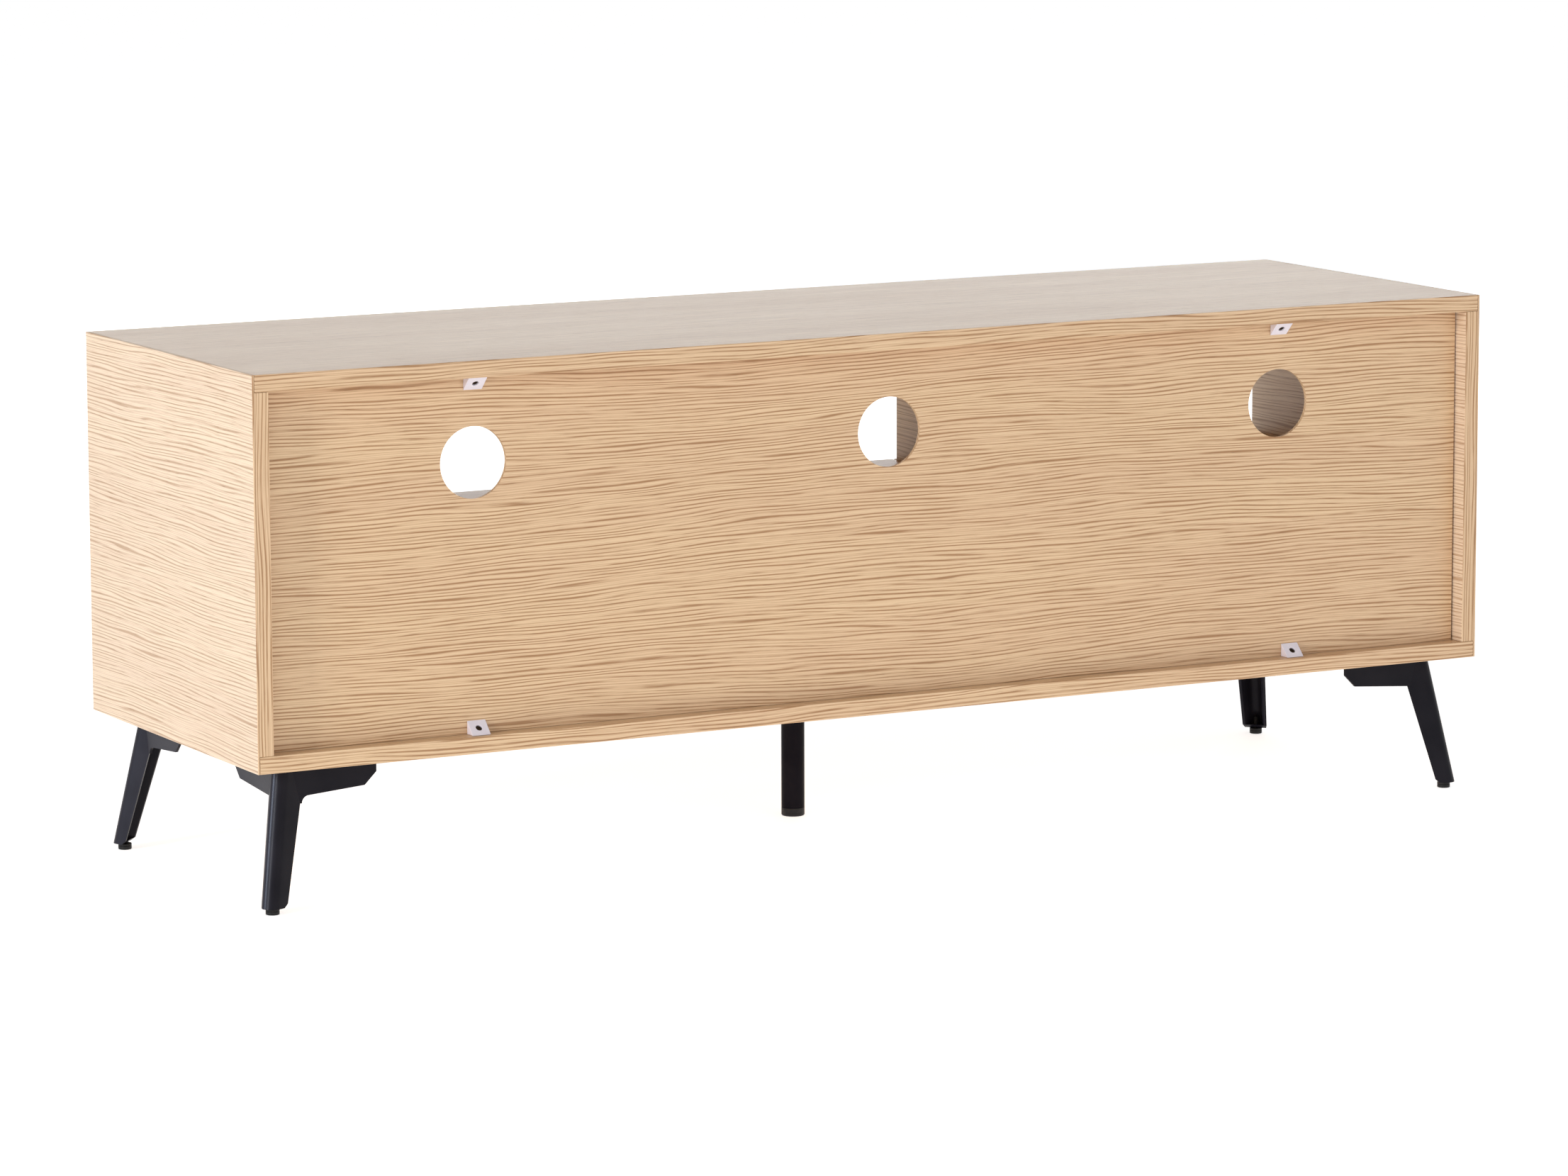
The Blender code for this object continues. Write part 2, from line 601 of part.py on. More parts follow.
def add_drawers(wood, liner, zinc, black_steel):
    inner_h = RUNNER_H - 2 * RUNNER_T - 2 * RUNNER_PLAY
    inner_depth = RUNNER_SPACE - RUNNER_T - RUNNER_BACK_PLAY - 2 * GAP
    shared = {
        "side": box_side_mesh(),
        "handle": handle_mesh(),
        "fixed": channel_mesh("fixed_channel", RUNNER_H, RUNNER_DEPTH, RUNNER_L),
        "moving": channel_mesh("moving_channel", inner_h, inner_depth,
                               RUNNER_L - RUNNER_SHORTER)}
    for bay, side in BAYS.items():
        add_drawer(bay, side, shared, wood, liner, zinc, black_steel)
    for piece in bpy.data.objects:
        if piece.name.startswith("handle_"):
            soften(piece, HANDLE_EDGE, 2)


for old in list(bpy.data.objects):
    bpy.data.objects.remove(old)

oak = finish_material("oak_laminate", (0.62, 0.43, 0.26), 0.45)
front_oak = finish_material("oak_front", (0.62, 0.43, 0.26), 0.42)
back_oak = finish_material("oak_back", (0.56, 0.38, 0.22), 0.55)
liner = finish_material("drawer_board", (0.60, 0.55, 0.48), 0.6)
white_plastic = finish_material("white_plastic", (0.78, 0.76, 0.78), 0.4)
black_plastic = finish_material("black_plastic", (0.015, 0.015, 0.017), 0.5)
black_steel = finish_material("black_steel", (0.022, 0.021, 0.026), 0.38, 0.3)
zinc = finish_material("zinc_steel", (0.55, 0.55, 0.56), 0.35, 0.9)

add_carcass(oak)
add_back_panel(back_oak)
add_clips(white_plastic, zinc)
add_corner_legs(black_steel, black_plastic)
add_centre_leg(black_steel, black_plastic)
add_drawers(front_oak, liner, zinc, black_steel)
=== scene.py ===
"""Looks of a low media cabinet: oak-print boards, a clipped back panel with round
cable holes, three drawers on ball runners, and five black steel legs.
"""
import json
from math import cos, pi, radians, sin

import bmesh
import bpy
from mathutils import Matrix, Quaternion, Vector

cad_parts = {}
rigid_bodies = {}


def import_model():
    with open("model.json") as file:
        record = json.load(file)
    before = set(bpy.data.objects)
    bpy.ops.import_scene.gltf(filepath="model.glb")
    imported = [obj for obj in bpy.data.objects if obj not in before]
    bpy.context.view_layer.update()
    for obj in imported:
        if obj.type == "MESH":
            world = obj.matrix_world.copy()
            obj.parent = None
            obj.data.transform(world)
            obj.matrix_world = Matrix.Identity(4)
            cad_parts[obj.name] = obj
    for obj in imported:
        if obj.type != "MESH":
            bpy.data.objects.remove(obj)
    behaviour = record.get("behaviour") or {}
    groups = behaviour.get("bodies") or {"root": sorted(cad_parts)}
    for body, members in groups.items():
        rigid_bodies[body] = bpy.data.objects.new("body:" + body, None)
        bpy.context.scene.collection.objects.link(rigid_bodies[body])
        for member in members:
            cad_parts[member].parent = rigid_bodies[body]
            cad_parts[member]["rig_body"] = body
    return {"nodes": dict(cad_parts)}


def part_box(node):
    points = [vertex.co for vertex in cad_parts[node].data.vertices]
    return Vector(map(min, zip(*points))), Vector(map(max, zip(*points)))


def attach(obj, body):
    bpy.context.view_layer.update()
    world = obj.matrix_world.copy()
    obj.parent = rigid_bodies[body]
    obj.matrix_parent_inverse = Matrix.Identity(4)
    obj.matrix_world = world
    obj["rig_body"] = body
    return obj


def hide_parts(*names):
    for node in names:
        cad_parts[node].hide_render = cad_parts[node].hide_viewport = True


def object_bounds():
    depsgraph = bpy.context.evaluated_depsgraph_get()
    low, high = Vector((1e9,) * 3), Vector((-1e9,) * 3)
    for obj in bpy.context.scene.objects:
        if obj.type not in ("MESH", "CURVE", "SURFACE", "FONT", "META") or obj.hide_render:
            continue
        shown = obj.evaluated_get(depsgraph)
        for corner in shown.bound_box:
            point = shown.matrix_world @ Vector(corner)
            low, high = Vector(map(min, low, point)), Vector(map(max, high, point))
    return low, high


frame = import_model()
cad_box = [list(corner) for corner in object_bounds()]


# Studio.  A pale seamless floor in a white room that gives less light from overhead and
# from the front.  Soft lights stand beside the right end, behind, and low in front of the
# left end, and a narrow one beside the right end lights only the corner legs.

class Socket:
    """A node's output.  Sums written on it become Math nodes."""

    def __init__(self, net, out):
        self.net = net
        self.out = out

    def maths(self, operation, *terms):
        return self.net.node("ShaderNodeMath", {"operation": operation}, dict(enumerate(terms)))

    def __add__(self, other):
        return self.maths('ADD', self, other)

    def __sub__(self, other):
        return self.maths('SUBTRACT', self, other)

    def __rsub__(self, other):
        return self.maths('SUBTRACT', other, self)

    def __mul__(self, other):
        return self.maths('MULTIPLY', self, other)

    def __gt__(self, other):
        return self.maths('GREATER_THAN', self, other)

    __radd__ = __add__
    __rmul__ = __mul__

    def size(self):
        return self.maths('ABSOLUTE', self)

    def wave(self):
        """A sine that repeats with every whole number."""
        return self.maths('SINE', self * (2 * pi))

    def ramp(self, low, high):
        """Nought below low, one above high, and smooth in between."""
        inputs = {"Value": self, "From Min": low, "From Max": high}
        return self.net.node("ShaderNodeMapRange", {"interpolation_type": 'SMOOTHSTEP'}, inputs)


class Net:
    """A node tree, written as expressions on its sockets."""

    def __init__(self, tree):
        self.tree = tree

    def feed(self, socket, value):
        if isinstance(value, (list, tuple)) and isinstance(value[0], Socket):
            for item in value:
                self.tree.links.new(item.out, socket)
        elif isinstance(value, Socket):
            self.tree.links.new(value.out, socket)
        else:
            socket.default_value = value

    def node(self, kind, settings, inputs, output=0):
        """Add a node: its settings first, then the values or links of its sockets."""
        made = self.tree.nodes.new(kind)
        for name, value in settings.items():
            setattr(made, name, value)
        for key, value in inputs.items():
            self.feed(made.inputs[key], value)
        return Socket(self, made.outputs[output])

    def split(self, vector):
        return [self.node("ShaderNodeSeparateXYZ", {}, {0: vector}, axis) for axis in "XYZ"]

    def join(self, x, y, z):
        return self.node("ShaderNodeCombineXYZ", {}, {0: x, 1: y, 2: z})


class Finish(Net):
    """A material with one Principled shader."""

    def __init__(self, name, slot, **sockets):
        self.material = bpy.data.materials.new(name)
        self.material.use_nodes = True
        self.slot = slot
        super().__init__(self.material.node_tree)
        self.shader = self.tree.nodes["Principled BSDF"]
        for socket, value in sockets.items():
            self.set(socket.replace("_", " "), value)

    def set(self, socket, value):
        self.feed(self.shader.inputs[socket], value)

    def place(self):
        """Where a point lies on the object, in metres."""
        return self.node("ShaderNodeTexCoord", {}, {}, "Object")

    def facing(self):
        return self.node("ShaderNodeTexCoord", {}, {}, "Normal")

    def cloud(self, at, scale=1.0, detail=2.0, roughness=0.5):
        inputs = {"Vector": at, "Scale": scale, "Detail": detail, "Roughness": roughness}
        return self.node("ShaderNodeTexNoise", {}, inputs, "Fac")

    def blend(self, factor, first, second):
        inputs = {0: factor, 6: first, 7: second}
        return self.node("ShaderNodeMix", {"data_type": 'RGBA'}, inputs, 2)

    def bump(self, height, distance, strength=1.0):
        inputs = {"Height": height, "Distance": distance, "Strength": strength}
        self.set("Normal", self.node("ShaderNodeBump", {}, inputs))


def colour(red, green, blue):
    """A display colour, 0 to 255 a channel, as linear light."""
    shares = [channel / 255 for channel in (red, green, blue)]
    return tuple(s / 12.92 if s <= 0.04045 else ((s + 0.055) / 1.055) ** 2.4 for s in shares) + (1,)


def show(name, mesh, *finishes):
    """Put a mesh, with its place already in it, on the object's origin."""
    piece = bpy.data.objects.new(name, mesh)
    bpy.context.scene.collection.objects.link(piece)
    for finish in finishes:
        piece.data.materials.append(finish.material)
    return piece


def aimed(location, target):
    return (Vector(target) - Vector(location)).to_track_quat('-Z', 'Y')


def soft_light(name, location, target, size, power, tint=(1, 1, 1), only=None):
    """A rectangular light, for everything or only for the objects of one collection."""
    lamp = bpy.data.lights.new(name, 'AREA')
    lamp.shape = 'RECTANGLE'
    lamp.size = size[0]
    lamp.size_y = size[1]
    lamp.energy = power
    lamp.color = tint
    holder = bpy.data.objects.new(name, lamp)
    holder.location = location
    holder.rotation_mode = 'QUATERNION'
    holder.rotation_quaternion = aimed(location, target)
    holder.light_linking.receiver_collection = only
    bpy.context.scene.collection.objects.link(holder)


low, high = Vector(cad_box[0]), Vector(cad_box[1])
middle = (low + high) / 2

FLOOR_HALF = 30
FLOOR_DROP = 0.0002  # keeps the floor off the pads' own faces
FLOOR_GLOW = 0.69
OVERHEAD_DIM = 0.65
FRONT_DIM = 0.95
COOL = (0.78, 0.86, 1.0)
VIEW_AZIMUTH = radians(151.739)
VIEW_ELEVATION = radians(8.899)
VIEW_ROLL = radians(-0.177)
VIEW_DISTANCE = 7.0204
VIEW_OFFSET = (0.0191, 0.014, -0.0226)  # from the object's middle to what the camera aims at
LENS = 145.9
SENSOR = 36

floor_mesh = bpy.data.meshes.new("floor")
corners = [(side_x * FLOOR_HALF, side_y * FLOOR_HALF, -FLOOR_DROP)
           for side_x, side_y in ((-1, -1), (1, -1), (1, 1), (-1, 1))]
floor_mesh.from_pydata(corners, [], [(0, 1, 2, 3)])
floor_finish = Finish("floor", None, Base_Color=(0.9, 0.9, 0.9, 1), Roughness=0.9,
                      Emission_Color=(1, 1, 1, 1), Emission_Strength=FLOOR_GLOW)
floor = show("floor", floor_mesh, floor_finish)

room = bpy.data.worlds.new("room")
room.use_nodes = True
air = Net(room.node_tree)
_, to_y, to_z = air.split(air.node("ShaderNodeTexCoord", {}, {}, "Generated"))
overhead = 1 - OVERHEAD_DIM * to_z.ramp(0.1, 0.8)
in_front = 1 - FRONT_DIM * (0 - to_y).ramp(0.0, 0.7)
glow = overhead * in_front
looked_at = air.node("ShaderNodeLightPath", {}, {}, "Is Camera Ray")  # the walls look white
backdrop = room.node_tree.nodes["Background"]
air.feed(backdrop.inputs["Color"], (1, 1, 1, 1))
air.feed(backdrop.inputs["Strength"], glow + looked_at * (1 - glow))
bpy.context.scene.world = room
bpy.context.scene.view_settings.view_transform = 'Standard'

soft_light("end_light", (5.5, 1.5, 1.6), (0.6, 0, 0.3), (0.8, 1.6), 128)
leg_group = bpy.data.collections.new("lit_by_edge_light")
soft_light("edge_light", (4.9, -1.4, 1.5), (0.7, 0.2, 0.1), (0.6, 1.8), 320, COOL, leg_group)
soft_light("rear_light", (-1.5, 6.5, 2.6), (0, 0, 0.3), (4, 2), 14)
soft_light("sheen_light", (-2.6, -4.6, 1.55), (0, 0, 0.5), (4.5, 1.6), 63)

camera_data = bpy.data.cameras.new("camera")
camera_data.lens = LENS
camera_data.sensor_width = SENSOR
camera = bpy.data.objects.new("camera", camera_data)
bpy.context.scene.collection.objects.link(camera)
bpy.context.scene.camera = camera
level = cos(VIEW_ELEVATION)
away = Vector((sin(VIEW_AZIMUTH) * level, -cos(VIEW_AZIMUTH) * level, sin(VIEW_ELEVATION)))
camera.location = middle + Vector(VIEW_OFFSET) + away * VIEW_DISTANCE
camera.rotation_mode = 'QUATERNION'
camera.rotation_quaternion = aimed(away, (0, 0, 0)) @ Quaternion((0, 0, 1), VIEW_ROLL)


# Carcass boards.  Particle board wrapped in oak-print foil: the figure is printed
# dull with embossed pores, and the end panels' outer skins cover the long boards' ends.

OAK = colour(220, 187, 148)
OAK_PINK = colour(215, 180, 143)
OAK_LIGHT = colour(231, 201, 162)
OAK_DARK = colour(158, 115, 73)
OAK_PORE = colour(132, 94, 58)
# The pale cream below is painted light: it lightens the end panels' faces as if they were brightly
# lit and washed out by sheen.
OAK_PAINTED_LIGHT = colour(250, 240, 228)
RINGS_PER_METRE = 245
HAIRS_PER_METRE = 455
LIGHT_RING_SHARE = 0.45
DARK_RING_SHARE = 0.62
DARKER_ON_EDGE = 0.29
HAIR_SHARE = 0.33
PORE_SHARE = 0.45
JOINT_SHARE = 0.6
FOIL_ROUGHNESS = 0.36
PORE_DEPTH = 0.00012
END_SKIN_T = 0.0022
SKIN_LINE_W = 0.0005


def oak_print(name, slot, upright=False, pale=0.0, figure=0.035, seed=0.0, skin_at=None):
    """Oak foil.  The grain runs along X, or on upright boards along Y, and Z on their edges."""
    oak = Finish(name, slot, IOR=1.5)
    x, y, z = oak.split(oak.place())
    _, ny, _ = oak.split(oak.facing())
    on_edge = ny.size() > 0.7
    if upright:
        along = y + (z - y) * on_edge
        across = z + (x - z) * on_edge
        depth = x + (y - x) * on_edge
    else:
        along, across, depth = x, z, y
    slow = oak.cloud(oak.join(along * 1.1 + seed, across * 4.0, depth * 4.0), 1.0, 1.0)
    sway = oak.cloud(oak.join(along * 6.0 + seed, across * 20.0, depth * 20.0), 1.0, 1.0)
    drift = across + depth + (slow - 0.5) * figure + (sway - 0.5) * 0.008
    spacing = oak.cloud(oak.join(along * 5.0, drift * 90.0, seed), 1.0, 1.0)
    break_up = oak.cloud(oak.join(along * 13.0 + seed, drift * 200.0, depth * 30.0), 1.0, 2.0)
    grit = oak.cloud(oak.join(along * 45.0, drift * 900.0, seed), 1.0, 2.0, 0.6)
    tone = oak.cloud(oak.join(along * 1.5 + seed, across * 16.0, depth * 16.0), 1.0, 2.0)
    rings = (drift * RINGS_PER_METRE + spacing * 2.4).wave()
    hairs = (drift * HAIRS_PER_METRE - spacing * 2.0).wave()
    dark_rings = rings.ramp(0.15, 0.95) * break_up.ramp(0.30, 0.58)
    light_rings = (0 - rings).ramp(0.2, 1.0)
    dark_hairs = hairs.ramp(0.4, 0.95) * break_up.ramp(0.66, 0.44)
    dashes = grit.ramp(0.56, 0.70) * (0.35 + 0.65 * dark_rings)
    tint = oak.blend(tone.ramp(0.35, 0.65), OAK, OAK_PINK)
    tint = oak.blend(light_rings * LIGHT_RING_SHARE, tint, OAK_LIGHT)
    # pale blends the faces, not the edges, towards that cream. This is painted light for a brightly
    # lit end, not a paler foil.
    if pale:
        tint = oak.blend(pale * (1 - on_edge), tint, OAK_PAINTED_LIGHT)
    tint = oak.blend(dark_rings * (DARK_RING_SHARE + DARKER_ON_EDGE * on_edge), tint, OAK_DARK)
    tint = oak.blend(dark_hairs * HAIR_SHARE, tint, OAK_DARK)
    tint = oak.blend(dashes * PORE_SHARE, tint, OAK_PORE)
    if skin_at:
        joint = 1 - ((x.size() - skin_at).size() > SKIN_LINE_W / 2)
        tint = oak.blend(joint * on_edge * JOINT_SHARE, tint, OAK_PORE)
    oak.set("Base Color", tint)
    oak.set("Roughness", FOIL_ROUGHNESS + 0.12 * dashes + 0.05 * tone)
    oak.bump(1 - dark_rings * 0.5 - dashes, PORE_DEPTH, 0.6)
    return oak


def dress(finish, *nodes):
    """Give CAD nodes a finish."""
    for name in nodes:
        for slot in frame["nodes"][name].material_slots:
            slot.material = finish.material


long_oak = oak_print("oak_boards", "oak_laminate", seed=3.0)
# The end panels' faces are painted paler: painted light and painted sheen for the bright light on
# the lit end.
end_oak = oak_print("oak_ends", "oak_laminate", upright=True, pale=0.32, seed=11.0,
                    skin_at=high.x - END_SKIN_T)
inner_oak = oak_print("oak_dividers", "oak_laminate", upright=True, seed=23.0)
dress(long_oak, "top_panel", "bottom_panel", "shelf_left", "shelf_centre", "shelf_right")
dress(end_oak, "side_panel_left", "side_panel_right")
dress(inner_oak, "divider_left", "divider_right")


# Back panel.  One sheet of thin fibreboard with the same oak printed on it, and a
# round cable hole sawn behind each niche.

back_oak = oak_print("oak_back", "oak_back", figure=0.05, seed=41.0)
dress(back_oak, "back_panel")


# Wedge clips.  Small moulded plastic corners, each pulled against the sheet by a
# cross-head screw that is driven square to its slanted face.

CLIP_WHITE = colour(232, 226, 232)
CLIP_GREY = colour(222, 215, 226)
ZINC_BRIGHT = colour(196, 197, 200)
ZINC_DULL = colour(176, 178, 184)
SCREW_BROWN = colour(44, 32, 22)
SCREW_WORN = colour(84, 66, 48)
CLIP_ROUND = 0.0005
CLIP_SCREW = {"Head Radius": 0.0033, "Head Height": 0.0018, "Recess Width": 0.0009}
CLIP_SCREW_LIFT = 0.0005
SPIN_STEP = 2.4  # each screw stops at its own angle
RECESS_REACH = 1.15  # length of the cross, in head radii
FLAT_WITHIN = radians(0.5)
SHARP_FROM = radians(20)  # edges that are rounded
CREASE_FROM = radians(30)  # edges that aren't shaded smooth
SAME_POINT = 1e-6


def rounded_copy(node, name, radius, finish):
    """A piece that stands for a CAD node, with its sharp edges rounded."""
    cad = frame["nodes"][node]
    mesh = bpy.data.meshes.new(name)
    mesh.from_pydata([vertex.co for vertex in cad.data.vertices], [],
                     [face.vertices for face in cad.data.polygons])
    bm = bmesh.new()
    bm.from_mesh(mesh)
    bmesh.ops.remove_doubles(bm, verts=bm.verts, dist=SAME_POINT)
    bmesh.ops.dissolve_limit(bm, angle_limit=FLAT_WITHIN, verts=bm.verts, edges=bm.edges)
    sharp = [edge for edge in bm.edges if edge.calc_face_angle(0) > SHARP_FROM]
    bmesh.ops.bevel(bm, geom=sharp, offset=radius, segments=2, profile=0.5, affect='EDGES',
                    clamp_overlap=True)
    bm.to_mesh(mesh)
    bm.free()
    mesh.shade_smooth()
    mesh.set_sharp_from_angle(angle=SHARP_FROM)
    piece = show(name, mesh, finish)
    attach(piece, cad["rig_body"])
    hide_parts(node)
    return piece


clip_plastic = Finish("white_plastic", "white_plastic")
at = clip_plastic.place()
clip_grain = clip_plastic.cloud(at, 1800.0, 2.0)
clip_shade = clip_plastic.cloud(at, 90.0, 1.0)
clip_plastic.set("Base Color", clip_plastic.blend(clip_shade, CLIP_WHITE, CLIP_GREY))
clip_plastic.set("Roughness", 0.38 + 0.12 * clip_grain)
clip_plastic.bump(clip_grain, 0.00004, 0.6)

zinc = Finish("zinc_plate", "zinc_steel", Metallic=1.0)
x, y, z = zinc.split(zinc.place())
drawn = zinc.cloud(zinc.join(x * 2200.0, y * 60.0, z * 2200.0), 1.0, 2.0)
bloom = zinc.cloud(zinc.place(), 160.0, 3.0)
zinc.set("Base Color", zinc.blend(bloom.ramp(0.35, 0.65), ZINC_BRIGHT, ZINC_DULL))
zinc.set("Roughness", 0.26 + 0.16 * drawn + 0.08 * bloom)
zinc.bump(drawn, 0.00002, 0.5)

dark_zinc = Finish("black_screws", "zinc_steel", Metallic=0.5, Specular_IOR_Level=0.2)
scuff = dark_zinc.cloud(dark_zinc.place(), 900.0, 3.0)
dark_zinc.set("Base Color", dark_zinc.blend(scuff.ramp(0.4, 0.8), SCREW_BROWN, SCREW_WORN))
dark_zinc.set("Roughness", 0.35 + 0.25 * scuff)
dark_zinc.bump(scuff, 0.00002, 0.5)


def tree_with(name, inputs):
    """An empty Geometry Nodes tree with named inputs, and those inputs as sockets."""
    tree = bpy.data.node_groups.new(name, 'GeometryNodeTree')
    tree.interface.new_socket("Geometry", in_out='OUTPUT', socket_type='NodeSocketGeometry')
    tree.interface.new_socket("Geometry", in_out='INPUT', socket_type='NodeSocketGeometry')
    for title, kind in inputs.items():
        tree.interface.new_socket(title, in_out='INPUT', socket_type='NodeSocket' + kind)
    net = Net(tree)
    entry = tree.nodes.new("NodeGroupInput")
    return net, {title: Socket(net, entry.outputs[title]) for title in ["Geometry", *inputs]}


def set_out(net, shape, material):
    """End a tree: real geometry with its material."""
    real = net.node("GeometryNodeRealizeInstances", {}, {0: shape})
    painted = net.node("GeometryNodeSetMaterial", {}, {"Geometry": real, "Material": material})
    end = net.tree.nodes.new("NodeGroupOutput")
    net.feed(end.inputs[0], painted)
    return net.tree


def screw_tree():
    """Domed heads with a cross recess, one on each point, facing the point's own way."""
    net, given = tree_with("screw_heads", {
        "Head Radius": 'Float', "Head Height": 'Float', "Recess Width": 'Float',
        "Material": 'Material'})
    radius, rise = given["Head Radius"], given["Head Height"]
    ball = net.node("GeometryNodeMeshUVSphere", {}, {
        "Segments": 24, "Rings": 12, "Radius": 1.0}, "Mesh")
    dome = net.node("GeometryNodeTransform", {}, {
        "Geometry": ball, "Scale": net.join(radius, radius, rise)})
    length, width = radius * RECESS_REACH, given["Recess Width"]
    lift = net.join(0, 0, rise)
    arms = [net.node("GeometryNodeTransform", {}, {"Translation": lift, "Geometry": net.node(
        "GeometryNodeMeshCube", {}, {"Size": net.join(*size, rise)}, "Mesh")})
        for size in ((length, width), (width, length))]
    head = net.node("GeometryNodeMeshBoolean", {"operation": 'DIFFERENCE', "solver": 'EXACT'},
                    {"Mesh 1": dome, "Mesh 2": arms}, "Mesh")
    facing = net.node("GeometryNodeInputNamedAttribute", {"data_type": 'FLOAT_VECTOR'},
                      {"Name": "facing"}, "Attribute")
    stand = net.node("FunctionNodeAlignRotationToVector", {"axis": 'Z'}, {"Vector": facing})
    spin = net.node("GeometryNodeInputIndex", {}, {}) * SPIN_STEP
    turn = net.node("FunctionNodeEulerToRotation", {}, {0: net.join(0, 0, spin)})
    turned = net.node("FunctionNodeRotateRotation", {"rotation_space": 'LOCAL'}, {0: stand, 1: turn})
    placed = net.node("GeometryNodeInstanceOnPoints", {}, {
        "Points": given["Geometry"], "Instance": head, "Rotation": turned})
    return set_out(net, placed, given["Material"])


def grown(name, tree, places, values, body, finish, *replaced):
    """Run a tree over (place, facing) points and keep its result as one plain mesh."""
    points = bpy.data.meshes.new(name)
    points.from_pydata([place for place, facing in places], [], [])
    ways = points.attributes.new("facing", 'FLOAT_VECTOR', 'POINT')
    ways.data.foreach_set("vector", [part for place, facing in places for part in facing])
    piece = show(name, points)
    rule = piece.modifiers.new("rule", 'NODES')
    rule.node_group = tree
    given = dict(values, Material=finish.material)
    for item in tree.interface.items_tree:
        if item.in_out == 'INPUT' and item.name in given:
            rule[item.identifier] = given[item.name]
    bpy.context.view_layer.update()
    seen = piece.evaluated_get(bpy.context.evaluated_depsgraph_get())
    mesh = bpy.data.meshes.new_from_object(seen)
    piece.modifiers.remove(rule)
    piece.data = mesh
    mesh.shade_smooth()
    mesh.set_sharp_from_angle(angle=CREASE_FROM)
    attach(piece, body)
    if replaced:
        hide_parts(*replaced)
    return piece


screw_heads = screw_tree()
clip_names = ["lower_left", "lower_right", "upper_left", "upper_right"]
clip_places = []
for clip in clip_names:
    rounded_copy("back_clip_" + clip, "wedge_" + clip, CLIP_ROUND, clip_plastic)
    screw_low, screw_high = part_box("clip_screw_" + clip)
    slant = Vector((0, 1, 1 if clip.startswith("lower") else -1)).normalized()
    clip_places.append(((screw_low + screw_high) / 2 + slant * CLIP_SCREW_LIFT, slant))
grown("clip_screws", screw_heads, clip_places, CLIP_SCREW, "cabinet", dark_zinc,
      *["clip_screw_" + clip for clip in clip_names])


# Corner legs.  Each is sheet steel folded to a round nose, with two bracket wings and
# a screw plate welded in, powder coated black, and four pan-head screws hold it.

COAT_BLACK = colour(21, 19, 24)
COAT_GREY = colour(28, 26, 31)
COAT_SHEEN = (0.86, 0.9, 1.0, 1)
LEG_SHINE = 0.11
LEG_ROUND = 0.0004
LEG_PLATE_T = 0.003
LEG_SCREWS = [(0.025, 0.104), (0.031, 0.059), (0.104, 0.025), (0.059, 0.031)]  # from the foot
LEG_SCREW = {"Head Radius": 0.0045, "Head Height": 0.0024, "Recess Width": 0.0012}
CORNERS = {"back_right": (1, 1), "back_left": (-1, 1),
           "front_left": (-1, -1), "front_right": (1, -1)}


def powder_coat(name, shine):
    """Black powder coat with its fine orange peel; shine is its specular level."""
    coat = Finish(name, "black_steel", Specular_IOR_Level=shine, Specular_Tint=COAT_SHEEN)
    at = coat.place()
    peel = coat.cloud(at, 900.0, 2.0)
    patch = coat.cloud(at, 22.0, 2.0)
    coat.set("Base Color", coat.blend(patch.ramp(0.3, 0.7), COAT_BLACK, COAT_GREY))
    coat.set("Roughness", 0.25 + 0.08 * peel + 0.05 * patch)
    coat.bump(peel, 0.00005, 0.5)
    return coat


black_coat = powder_coat("black_coat", LEG_SHINE)
down = Vector((0, 0, -1))
leg_screw_places = []
for corner, (side_x, side_y) in CORNERS.items():
    leg = rounded_copy("leg_" + corner, "folded_leg_" + corner, LEG_ROUND, black_coat)
    leg_group.objects.link(leg)
    foot_low, foot_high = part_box("foot_" + corner)
    axis = (foot_low + foot_high) / 2
    plate_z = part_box("leg_" + corner)[1].z - LEG_PLATE_T
    leg_screw_places += [(Vector((axis.x - side_x * inwards, axis.y - side_y * back, plate_z)), down)
                         for inwards, back in LEG_SCREWS]
grown("leg_screws", screw_heads, leg_screw_places, LEG_SCREW, "cabinet", dark_zinc)


# Levelling feet.  A moulded pad on a threaded stem, turned by hand to level the cabinet.

FOOT_BLACK = colour(14, 14, 15)
FOOT_DUSTY = colour(30, 29, 29)
FOOT_PAD_H = 0.0065
FOOT_STEM_R = 0.003
THREAD_PITCH = 0.001
THREAD_DEPTH = 0.0004
PAD_ROUND = 0.0008
PAD_GROOVE = 0.0003

foot_plastic = Finish("black_plastic", "black_plastic", Specular_IOR_Level=0.3)
at = foot_plastic.place()
foot_grain = foot_plastic.cloud(at, 2400.0, 2.0)
foot_dust = foot_plastic.cloud(at, 140.0, 3.0)
foot_plastic.set("Base Color", foot_plastic.blend(foot_dust.ramp(0.5, 0.8), FOOT_BLACK, FOOT_DUSTY))
foot_plastic.set("Roughness", 0.42 + 0.16 * foot_grain)
foot_plastic.bump(foot_grain, 0.00004, 0.7)


def arc(centre, radius, start, end, steps=4):
    turn = [start + (end - start) * step / steps for step in range(steps + 1)]
    return [(centre[0] + radius * cos(a), centre[1] + radius * sin(a)) for a in turn]


def turned_mesh(name, profile, axis, steps=48):
    """A (radius, height) profile turned round a vertical axis through a point."""
    bm = bmesh.new()
    points = [bm.verts.new((radius, 0, height)) for radius, height in profile]
    edges = [bm.edges.new(pair) for pair in zip(points, points[1:])]
    bmesh.ops.spin(bm, geom=points + edges, cent=(0, 0, 0), axis=(0, 0, 1), angle=2 * pi,
                   steps=steps, use_merge=True)
    bmesh.ops.remove_doubles(bm, verts=bm.verts, dist=SAME_POINT)
    bmesh.ops.recalc_face_normals(bm, faces=bm.faces)
    bmesh.ops.translate(bm, verts=bm.verts, vec=axis)
    mesh = bpy.data.meshes.new(name)
    bm.to_mesh(mesh)
    bm.free()
    mesh.shade_smooth()
    mesh.set_sharp_from_angle(angle=CREASE_FROM)
    return mesh


